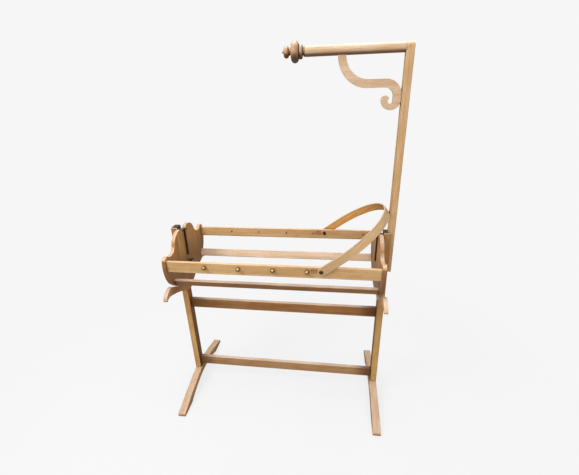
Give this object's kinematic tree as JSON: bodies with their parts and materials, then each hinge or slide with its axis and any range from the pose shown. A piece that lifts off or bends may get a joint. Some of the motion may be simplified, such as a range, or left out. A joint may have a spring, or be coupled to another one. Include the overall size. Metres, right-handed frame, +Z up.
{
  "type": "swinging cradle on stand",
  "caption": "Wooden cradle that swings between two footed posts, with a pivoting bentwood hood hoop and a canopy pole carrying a turned arm and scroll bracket.",
  "frame": {"origin": "centre of the whole object's footprint, on the floor", "axes": "+X along the cradle towards the canopy pole, +Y across it towards the back, +Z up"},
  "size_m": [1.022, 0.5602, 1.674],
  "materials": {
    "stand_wood": "waxed honey-coloured hardwood, worn at the edges",
    "cradle_wood": "waxed honey-coloured hardwood, worn at the edges",
    "canopy_wood": "waxed honey-coloured hardwood",
    "turned_wood": "darker stained and waxed turned hardwood",
    "bentwood": "pale steam-bent hardwood, satin",
    "peg_wood": "end grain, waxed",
    "brass": "polished, slightly tarnished",
    "iron": "dark forged iron, dull",
    "screw_steel": "old slotted steel screws, dull"
  },
  "bodies": {
    "stand": {"left_foot": "stand_wood", "right_foot": "stand_wood", "left_post": "stand_wood", "right_post": "stand_wood", "left_cross_arm": "stand_wood", "right_cross_arm": "stand_wood", "lower_stretcher": "stand_wood", "upper_stretcher": "stand_wood", "stretcher_pegs": "peg_wood", "foot_pegs": "peg_wood", "cross_arm_screws": "screw_steel", "left_pivot_strap": "iron", "right_pivot_strap": "iron", "pivot_strap_screws": "screw_steel", "pivot_pins": "iron", "pivot_collars": "iron", "pivot_washers": "iron", "split_pins": "iron", "canopy_pole": "canopy_wood", "canopy_arm": "canopy_wood", "arm_tenon_peg": "peg_wood", "finial": "turned_wood", "scroll_bracket": "canopy_wood", "pole_screws": "screw_steel", "scroll_screws": "screw_steel"},
    "cradle": {"left_end_panel": "cradle_wood", "right_end_panel": "cradle_wood", "front_top_rail": "cradle_wood", "back_top_rail": "cradle_wood", "front_lower_slat": "cradle_wood", "back_lower_slat": "cradle_wood", "rail_screws": "screw_steel", "left_hanger": "iron", "right_hanger": "iron", "hanger_screws": "screw_steel", "front_knobs": "brass", "back_knobs": "brass", "knob_nuts": "iron", "hoop_bolts": "iron", "hoop_washers": "iron", "hoop_nuts": "iron"},
    "hoop": {"hood_hoop": "bentwood"},
    "swing_lock": {"swing_lock_screw": "iron"}
  },
  "joints": [
    {"name": "cradle_swing", "type": "hinge", "parent": "stand", "child": "cradle", "pos_m": [-0.008, 0, 0.918], "axis": [1, 0, 0], "range_deg": [-20, 20]},
    {"name": "hoop_fold", "type": "hinge", "parent": "cradle", "child": "hoop", "pos_m": [0.202, 0, 0.835], "axis": [0, -1, 0], "range_deg": [0, 100]},
    {"name": "lock_slide", "type": "slide", "parent": "cradle", "child": "swing_lock", "axis": [-1, 0, 0], "range_m": [0, 0.0058]}
  ]
}
